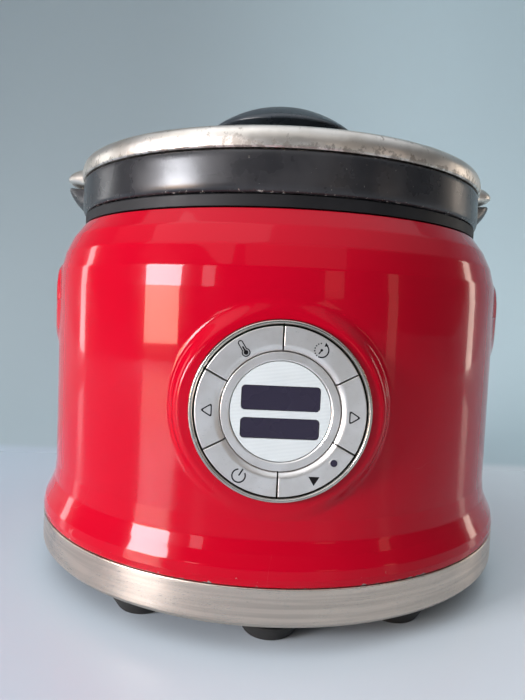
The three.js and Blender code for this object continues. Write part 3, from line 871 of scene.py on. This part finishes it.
bezel_profile = [
    (39.1, 133.4),
    (BEZEL_R, 133.4),
    (BEZEL_R, 141.7, 0.5),
    (40.7, 142.55, 0.7),
    (39.7, 142.6, 0.5),
    (39.1, 141.8, 0.4),
]
bezel = turn_to_dial(revolve("dial_bezel", rounded(bezel_profile, closed=True), 192))
stands_for(bezel, "housing", "polished_steel", BEZEL_STEEL)

ring_outline = [
    (26.9, 131.1),
    (26.9, 141.25, 0.45),
    (23.5, 141.3, 0.2),
    (23.1, 141.05, 0.15),
    (22.9, 140.9, 0.1),
    (22.9, 131.1),
]
display_ring = turn_to_dial(revolve("display_ring", rounded(ring_outline, closed=True), 160))
stands_for(display_ring, "housing", "silver_plastic")

WINDOW_LENGTH = 35.1
WINDOWS = {"lcd_upper": (6.0, 10.8), "lcd_lower": (-7.6, 9.0)}  # height of the middle, and height


def display_plate():
    outline = [(0, BUTTON_BACK), (22.6, BUTTON_BACK), (22.6, 140.7, 0.25), (10, 140.7), (0, 140.7)]
    profile = rounded(outline)
    plate = turn_to_dial(revolve("display_plate", profile, 128))
    holes = [
        bar_through(rectangle(WINDOW_LENGTH + 0.4, height + 0.4, 1.9, (0, centre)), 130, 150, on_dial)
        for centre, height in WINDOWS.values()
    ]
    return combined("DIFFERENCE", plate, *holes)


stands_for(display_plate(), "housing", "display_plate")
for name, (centre, height) in WINDOWS.items():
    sections = [
        (rectangle(WINDOW_LENGTH, height, 1.7, (0, centre)), BUTTON_BACK),
        (rectangle(WINDOW_LENGTH, height, 1.7, (0, centre)), 140.3),
        (rectangle(WINDOW_LENGTH - 0.3, height - 0.3, 1.55, (0, centre)), 140.45),
    ]
    stands_for(loft(name, sections, on_dial), "housing", "lcd")

STEM_R = 32.8  # distance of the button's stem from the middle of the dial
BUTTONS = {
    "temperature": (90, 152),
    "timer": (28, 90),
    "right": (-28, 28),
    "down": (-90, -28),
    "power": (-152, -90),
    "left": (152, 208),
}
# depth, inner radius, outer radius and set-back of the ends, up the sides and over the soft inner slope
BUTTON_SECTIONS = [
    (BUTTON_BACK, 27.25, 38.3, 0.35),
    (140.35, 27.25, 38.3, 0.35),
    (140.75, 27.4, 38.3, 0.35),
    (141.15, 27.75, 38.3, 0.35),
    (141.6, 28.35, 38.3, 0.35),
    (141.9, 28.85, 38.28, 0.37),
    (142.12, 29.35, 38.15, 0.45),
    (142.25, 29.85, 37.95, 0.62),
    (BUTTON_FACE, 30.5, 37.6, 0.95),
]
for name, (start, end) in BUTTONS.items():
    outlines = []
    for depth, inner, outer, gap in BUTTON_SECTIONS:
        outlines.append((sector(inner, outer, start, end, gap), depth))
    cap = loft(f"button_{name}", outlines, on_dial)
    middle = radians((start + end) / 2)
    stem = bar_through(circle(2.6, (STEM_R * cos(middle), STEM_R * sin(middle))), 134.3, 139, on_dial)
    stands_for(combined("UNION", cap, stem), f"{name}_button", "silver_plastic")


# ---------------------------------------------------------------- printed symbols


def turned_by(points, degrees_, centre):
    c, s = cos(radians(degrees_)), sin(radians(degrees_))
    return [(centre[0] + c * x - s * y, centre[1] + s * x + c * y) for x, y in points]


def bar(start, end, width):
    """Outline of a straight stroke between two points."""
    along = (Vector(end) - Vector(start)).normalized()
    side = Vector((-along.y, along.x)) * width / 2
    a, b = Vector(start), Vector(end)
    return [tuple(p) for p in (a - side, b - side, b + side, a + side)]


def symbol(name, body, centre, turn, shapes):
    """Thin printed plates on a button's face. A shape is an outline, or an (outer, inner) pair."""
    low, high = PRINT_LOW, PRINT_LOW + 0.08
    parts = []
    for shape in shapes:
        if isinstance(shape, tuple):
            outer, inner = (turned_by(s, turn, centre) for s in shape)
            walls = [(outer, low), (outer, high), (inner, high), (inner, low)]
            parts.append(loft(name, walls, on_dial, closed=True))
        else:
            outline = turned_by(shape, turn, centre)
            parts.append(loft(name, [(outline, low), (outline, high)], on_dial))
    if len(parts) > 1:
        with bpy.context.temp_override(active_object=parts[0], selected_editable_objects=parts):
            bpy.ops.object.join()
    finish(parts[0], body, "black_plastic", look=PRINT)


def triangle(base, height, corner=0.5, grow=0.0):
    """Rounded triangle pointing up, about its own middle, grown on all sides."""
    half, h = base / 2 + grow * 1.75, height / 2
    points = [(-half, -h - grow, corner), (half, -h - grow, corner), (0, h + grow * 2.1, corner)]
    return rounded(points, closed=True, steps=4)


def arch(half_width, bottom, centre_height, steps=12):
    """Outline of a stem with a half-round top."""
    turns = [pi * k / steps for k in range(steps + 1)]
    top = [(half_width * cos(t), centre_height + half_width * sin(t)) for t in turns]
    return [*top, (-half_width, bottom), (half_width, bottom)]


STROKE = 0.27  # half the width of the triangles' outlines
symbol(
    "symbol_temperature",
    "temperature_button",
    (-17.5, 27.9),
    32,
    [
        (arch(1.2, -1.1, 2.6), arch(0.72, -1.0, 2.6)),
        circle(1.05, (0, -2.3)),
        sector(1.45, 1.95, 132, 408, centre=(0, -2.3)),
        bar((0, -2.0), (0, 0.8), 0.7),
    ],
)
timer_dots = [
    circle(0.33, (3.1 * cos(radians(a)), 3.1 * sin(radians(a))), 12)
    for a in (96, 118, 140, 162, 184, 206, 226)
]
symbol(
    "symbol_timer",
    "timer_button",
    (16.9, 28.2),
    0,
    [
        sector(2.8, 3.4, -118, 44),
        turned_by(triangle(1.9, 1.8, 0.1), 10, (1.9, 2.7)),
        *timer_dots,
        circle(0.6, (0, 0.1)),
        bar((0, 0), (-1.25, -1.6), 0.55),
    ],
)
for name, centre, turn in (("left", (-32.9, -0.2), 90), ("right", (33.1, -1.1), -90)):
    outlines = (triangle(5.6, 4.5, 0.8, STROKE), triangle(5.6, 4.5, 0.5, -STROKE))
    symbol(f"symbol_{name}", f"{name}_button", centre, turn, [outlines])
symbol("symbol_down", "down_button", (16.2, -30.4), 180, [triangle(5.0, 4.1, 0.12)])
symbol(
    "symbol_power",
    "power_button",
    (-17.4, -29.1),
    -31,
    [sector(2.65, 3.3, 124, 416), bar((0, 0.1), (0, 3.6), 0.66)],
)
LAMP_PLACE = (24.8, 0, -21.9)  # from the middle of the dial
lamp_profile = [(0, PRINT_LOW), (1.6, PRINT_LOW), (1.6, 142.38, 0.05), (0.9, 142.42), (0, 142.43)]
lamp = revolve("down_button_lamp", rounded(lamp_profile), 40)
finish(moved(turn_to_dial(lamp), *LAMP_PLACE), "down_button", "lcd")
rim_profile = [(1.65, PRINT_LOW), (2.1, PRINT_LOW), (2.0, 142.42, 0.06), (1.7, 142.44, 0.05)]
lamp_rim = revolve("down_button_lamp_rim", rounded(rim_profile, closed=True), 40)
finish(moved(turn_to_dial(lamp_rim), *LAMP_PLACE), "down_button", "silver_plastic")

# ---------------------------------------------------------------- pot

# Each outer point of the band with the place that it takes at the tip of a pouring lip.
POT_BAND = [
    ((124.4, 209.6), (124.4, 209.6)),
    ((125.4, 210.4), (125.4, 210.4)),
    ((125.9, 211.6), (125.9, 211.4)),
    ((126.2, 213.8), (127.6, 213.4)),
    ((126.2, 216.8), (130.6, 216.4)),
    ((126.2, 219.8), (133.8, 219.4)),
    ((126.1, 222.8), (136.6, 222.6)),
    ((126.1, 225.3), (138.6, 225.6)),
    ((126.0, 227.2), (140.0, 228.4)),
    ((125.8, 228.4), (140.6, 230.2)),
    ((125.4, 229.1), (140.6, 231.2)),
    ((124.7, 229.4), (140.0, 231.9)),
    ((123.8, 229.4), (138.6, 231.9)),
    ((122.8, 229.4), (136.4, 231.2)),
    ((121.4, 229.4), (133.4, 230.2)),
    ((119.6, 229.4), (129.6, 229.6)),
    ((117.0, 229.4), (124.0, 229.4)),
    ((113.5, 229.4), (116.0, 229.4)),
]
POT_INNER = rounded(
    [
        (110.4, 229.4),
        (107.6, 229.1, 1.2),
        (107.0, 227.0, 1),
        (107.0, 106, 2),
        (107, 95, 10),
        (60, 95),
        (0, 95),
    ],
    steps=8,
)
POT_UNDER = rounded(
    [
        (0, 92.5),
        (60, 92.5),
        (109.5, 92.5, 10),
        (109.5, 130),
        (109.5, 224, 1),
        (122.6, 224, 1),
        (122.6, 209.6),
    ],
    steps=8,
)


def nose(a, half_width):
    """1 at the middle of a pouring lip, falling smoothly to 0 at its half-width."""
    off = POT_R * abs(cos(a)) / half_width
    return (1 - off * off) ** 2 if off < 1 else 0


def pot_shape(a, k, r, z):
    band = k - len(POT_UNDER)
    if not 0 <= band < len(POT_BAND):
        return r, z
    tip_r, tip_z = POT_BAND[band][1]
    w = nose(a, 18)
    return r + (tip_r - r) * w, z + (tip_z - z) * w * w


pot_profile = POT_UNDER + [plain for plain, _ in POT_BAND] + POT_INNER
pot = revolve("cooking_pot", pot_profile, 360, shape=pot_shape, sharp=50)
stands_for(pot, "pot", "pot_coating")

# ---------------------------------------------------------------- lid

# Each outer point of the rim with the place that it takes at the middle of a strainer flap.
LID_EDGE = [
    ((124.0, 229.8), (124.0, 229.8)),
    ((126.0, 229.9), (126.4, 230.2)),
    ((126.7, 230.6), (130.4, 231.4)),
    ((126.9, 231.6), (134.4, 232.2)),
    ((127.0, 232.8), (137.8, 233.2)),
    ((127.0, 234.1), (139.6, 234.6)),
    ((126.9, 235.6), (139.6, 236.4)),
    ((126.5, 237.2), (138.4, 238.2)),
    ((125.9, 238.6), (136.2, 239.8)),
    ((124.9, 239.8), (133.2, 241.0)),
    ((123.6, 240.6), (129.8, 241.8)),
    ((122.2, 240.9), (126.4, 241.9)),
    ((120.6, 240.8), (122.8, 241.3)),
]
LID_TOP = rounded(
    [
        (118.9, 240.3),
        (116.4, 238.8, 3),
        (113.4, 237.4, 0.6),
        (113.2, 236.2, 0.3),
        (119.9, 236.2, 0.3),
        (119.9, 232.7, 0.3),
    ]
)
LID_UNDER = rounded([(104, 232.7, 0.3), (104, 224, 0.3), (105.2, 224, 0.3), (105.2, 229.8, 1)], closed=True)


def lid_shape(a, k, r, z):
    edge = k - len(LID_UNDER)
    if not 0 <= edge < len(LID_EDGE):
        return r, z
    off = POT_R * abs(cos(a)) / 23
    w = (1 - off**4) ** 2 if off < 1 else 0
    flap_r, flap_z = LID_EDGE[edge][1]
    return r + (flap_r - r) * w, z + (flap_z - z) * w


def lid_rim():
    profile = LID_UNDER + [plain for plain, _ in LID_EDGE] + LID_TOP
    rim = revolve("lid_rim", profile, 360, shape=lid_shape, sharp=50)
    holes = [
        bar_through(circle(1.7, (side * STRAINER_X, y), 24), 222, 250)
        for side in (1, -1)
        for y in (-7, 0, 7)
    ]
    return combined("DIFFERENCE", rim, *holes)


stands_for(lid_rim(), "lid", "polished_steel", LID_STEEL)


def glass_height(r):
    return GLASS_CROWN - GLASS_DOME_R + sqrt(GLASS_DOME_R**2 - r**2)


def lid_glass():
    radii = [112.8 - (112.8 - 3.8) * k / 26 for k in range(27)]
    above = [(r, glass_height(r)) for r in radii]
    below = [(r, glass_height(r) - 3.6) for r in reversed(radii[1:])]
    flange = [(111.6, 233.2), (119.2, 233.2), (119.5, 233.5), (119.5, 235.4), (119.2, 235.7)]
    glass = revolve("lid_glass", [*flange, *above, *below], 192)
    return combined("DIFFERENCE", glass, bar_through(circle(4.4, (0, VENT_R)), 220, 270))


stands_for(lid_glass(), "lid", "glass")

def knob_profile():
    """From the axis under the knob, round its rim and over its dome."""
    reach = asin(46.5 / KNOB_DOME_R)
    turns = [reach * (1 - k / 22) for k in range(22)]
    dome = [(KNOB_DOME_R * sin(t), KNOB_TOP - KNOB_DOME_R + KNOB_DOME_R * cos(t)) for t in turns]
    under = [
        (0, KNOB_BOTTOM),
        (14, KNOB_BOTTOM, 1),
        (15.5, KNOB_BOTTOM + 3, 2),
        (41.5, KNOB_BOTTOM + 8, 3),
        (48, KNOB_BOTTOM + 11.6, 1.4),
        dome[0],
    ]
    return rounded(under, steps=6) + dome[1:] + [(0, KNOB_TOP)]


def knob():
    bore = bar_through(circle(2.9), KNOB_BOTTOM - 5, KNOB_BORE_TOP)
    return combined("DIFFERENCE", revolve("lid_knob", knob_profile(), 160), bore)


stands_for(knob(), "lid", "knob_plastic")
ferrule = [(3.4, 254.8), (19.6, 254.8, 0.5), (20.6, 255.8, 0.7), (17.4, 257.5, 0.8), (3.4, 257.5)]
stands_for(revolve("knob_ferrule", rounded(ferrule, closed=True), 96), "lid", "polished_steel")
washer = rounded([(3.2, 247.5, 0.3), (12, 247.5, 0.5), (12, 249.5, 0.5), (3.2, 249.5, 0.3)], closed=True)
stands_for(revolve("knob_washer", washer, 64), "lid", "rubber")


def knob_screw():
    head = [(0, 244.3), (4.6, 244.3, 0.8), (6, 246.5, 0.6), (6, 247.1, 0.2)]
    profile = rounded([*head, (2.5, 247.1), (2.5, 270.3, 0.4), (2.1, 270.9), (0, 270.9)])
    screw = revolve("knob_screw", profile, 48)
    cross = [
        loft("cutter", [(rectangle(a, b, 0.2), 243), (rectangle(a - 0.8, b - 0.2, 0.15), 245.9)], upright)
        for a, b in ((6, 1.1), (1.1, 6))
    ]
    return combined("DIFFERENCE", screw, *cross)


stands_for(knob_screw(), "lid", "polished_steel")
vent_top = glass_height(VENT_R - 9)
vent_profile = [
    (1.6, vent_top - 8.6, 0.2),
    (4.1, vent_top - 8.6, 0.3),
    (4.1, vent_top + 0.3, 0.2),
    (7.4, vent_top + 0.3, 0.2),
    (6.8, vent_top + 1.6, 0.6),
    (3.0, vent_top + 1.6, 0.4),
    (1.6, vent_top + 1.1, 0.2),
]
vent = revolve("steam_vent", rounded(vent_profile, closed=True), 48)
stands_for(moved(vent, 0, VENT_R), "lid", "polished_steel")

# ---------------------------------------------------------------- CAD nodes that stay

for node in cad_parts.values():
    for place in node.material_slots:
        place.material = LOOKS[place.material.name.split(".")[0]]

# ---------------------------------------------------------------- floor, backdrop and light


def backdrop():
    """One sheet: floor in front, then a wide upward sweep behind the object."""
    line = [(-6000, 0), (-2500, 0), (-900, 0), (-300, 0), (0, 0), (200, 0), (300, 0)]
    line += [(300 + 1500 * sin(radians(k * 4)), 1500 - 1500 * cos(radians(k * 4))) for k in range(1, 21)]
    line += [(1900, 2600), (1980, 5000)]
    widths = [-6000, -2500, -900, -300, 0, 300, 900, 2500, 6000]
    verts = [(x, y, z) for y, z in line for x in widths]
    n = len(widths)
    faces = [
        (k * n + i, k * n + i + 1, (k + 1) * n + i + 1, (k + 1) * n + i)
        for k in range(len(line) - 1)
        for i in range(n - 1)
    ]
    sheet = finished("backdrop", verts, faces)
    look = Look("backdrop", Specular_IOR_Level=0.28)
    x, y, z = look.split()
    # Painted light: the wall and the floor are painted darker at the left and lighter at the right, standing
    # in for uneven light across the backdrop. The change from floor to wall along y is two-tone paint.
    wall = look.mixed(look.step(x, -500, 700), (0.36, 0.43, 0.455), (0.58, 0.72, 0.76))
    floor = look.mixed(look.step(x, -400, 300), (0.42, 0.50, 0.58), (0.72, 0.77, 0.80))
    base = look.mixed(look.step(y, 205, 240), floor, wall)
    base = look.mixed(look.math("MULTIPLY", look.noise(0.02, 3.0), 0.06), base, (0.5, 0.5, 0.5))
    rough = look.step(y, 195, 260, 0.26, 0.8)
    sheet.data.materials.append(look.give(Base_Color=base, Roughness=rough))


backdrop()


def panel(name, azimuth, elevation, distance, width, height, power, colour=(1, 1, 1)):
    """Area light that looks at the middle of the object, from an angle at the dial's side."""
    data = bpy.data.lights.new(name, "AREA")
    data.shape = "RECTANGLE"
    data.size, data.size_y = width, height
    data.energy = power
    data.color = colour
    lamp = bpy.data.objects.new(name, data)
    a, e = radians(azimuth), radians(elevation)
    target = Vector((0, 0, 0.13))
    towards = Vector((sin(a) * cos(e), -cos(a) * cos(e), sin(e)))
    lamp.location = target + towards * distance
    lamp.rotation_euler = towards.to_track_quat("Z", "Y").to_euler()
    bpy.context.scene.collection.objects.link(lamp)
    return lamp


panel("key", -50, 50, 2.6, 2.2, 1.8, 12, (0.97, 0.98, 1.0))
panel("window", -55, 12, 1.6, 0.52, 0.40, 27, (0.93, 0.94, 1.0))
panel("warm_card", -55, 1.1, 1.6, 0.50, 0.22, 8, (1.0, 0.70, 0.50))
panel("soft_left", -33, 12, 2.2, 0.22, 0.5, 1.8, (1.0, 0.97, 1.0))
panel("front_high", 8, 36, 2.5, 2.0, 0.8, 2.0, (1.0, 0.97, 0.93))
panel("soft_right", 25, 9, 2.2, 0.34, 0.5, 0.6, (1.0, 0.80, 0.62))
panel("edge_right", 54, 6, 2.2, 0.20, 0.8, 0.9, (1.0, 0.74, 0.54))
panel("strip_right", 107, 6, 1.6, 0.16, 0.9, 2.6, (1.0, 0.84, 0.70))
panel("strip_left", -108, 6, 1.6, 0.14, 0.9, 2.6)


def room():
    """Dark round the sides, with a soft bright ceiling."""
    world = bpy.data.worlds.new("room")
    world.use_nodes = True
    tree = world.node_tree
    direction = tree.nodes.new("ShaderNodeTexCoord").outputs["Generated"]
    split = tree.nodes.new("ShaderNodeSeparateXYZ")
    tree.links.new(direction, split.inputs[0])
    rise = tree.nodes.new("ShaderNodeMapRange")
    rise.interpolation_type = "SMOOTHSTEP"
    rise.inputs["From Min"].default_value = 0.40
    rise.inputs["To Min"].default_value = 0.15
    rise.inputs["To Max"].default_value = 1.1
    tree.links.new(split.outputs["Z"], rise.inputs["Value"])
    air = tree.nodes["Background"]
    air.inputs["Color"].default_value = (0.86, 0.92, 1.0, 1)
    tree.links.new(rise.outputs["Result"], air.inputs["Strength"])
    return world


bpy.context.scene.world = room()
bpy.context.scene.view_settings.view_transform = "Standard"

# ---------------------------------------------------------------- camera

YAW, PITCH, ROLL = radians(0.74), radians(3.563), radians(2.45)
ahead = Vector((sin(YAW) * cos(PITCH), cos(YAW) * cos(PITCH), -sin(PITCH)))
right = Vector((cos(YAW), -sin(YAW), 0))
up = right.cross(ahead)
camera_x = cos(ROLL) * right + sin(ROLL) * up
camera_y = -sin(ROLL) * right + cos(ROLL) * up
lens = bpy.data.cameras.new("camera")
lens.lens = 29.73
lens.sensor_width = 36
lens.clip_start = 0.01
camera = bpy.data.objects.new("camera", lens)
turn = Matrix((camera_x, camera_y, -ahead)).transposed().to_4x4()
camera.matrix_world = Matrix.Translation((-0.0124, -0.3956, 0.1535)) @ turn
bpy.context.scene.collection.objects.link(camera)
bpy.context.scene.camera = camera
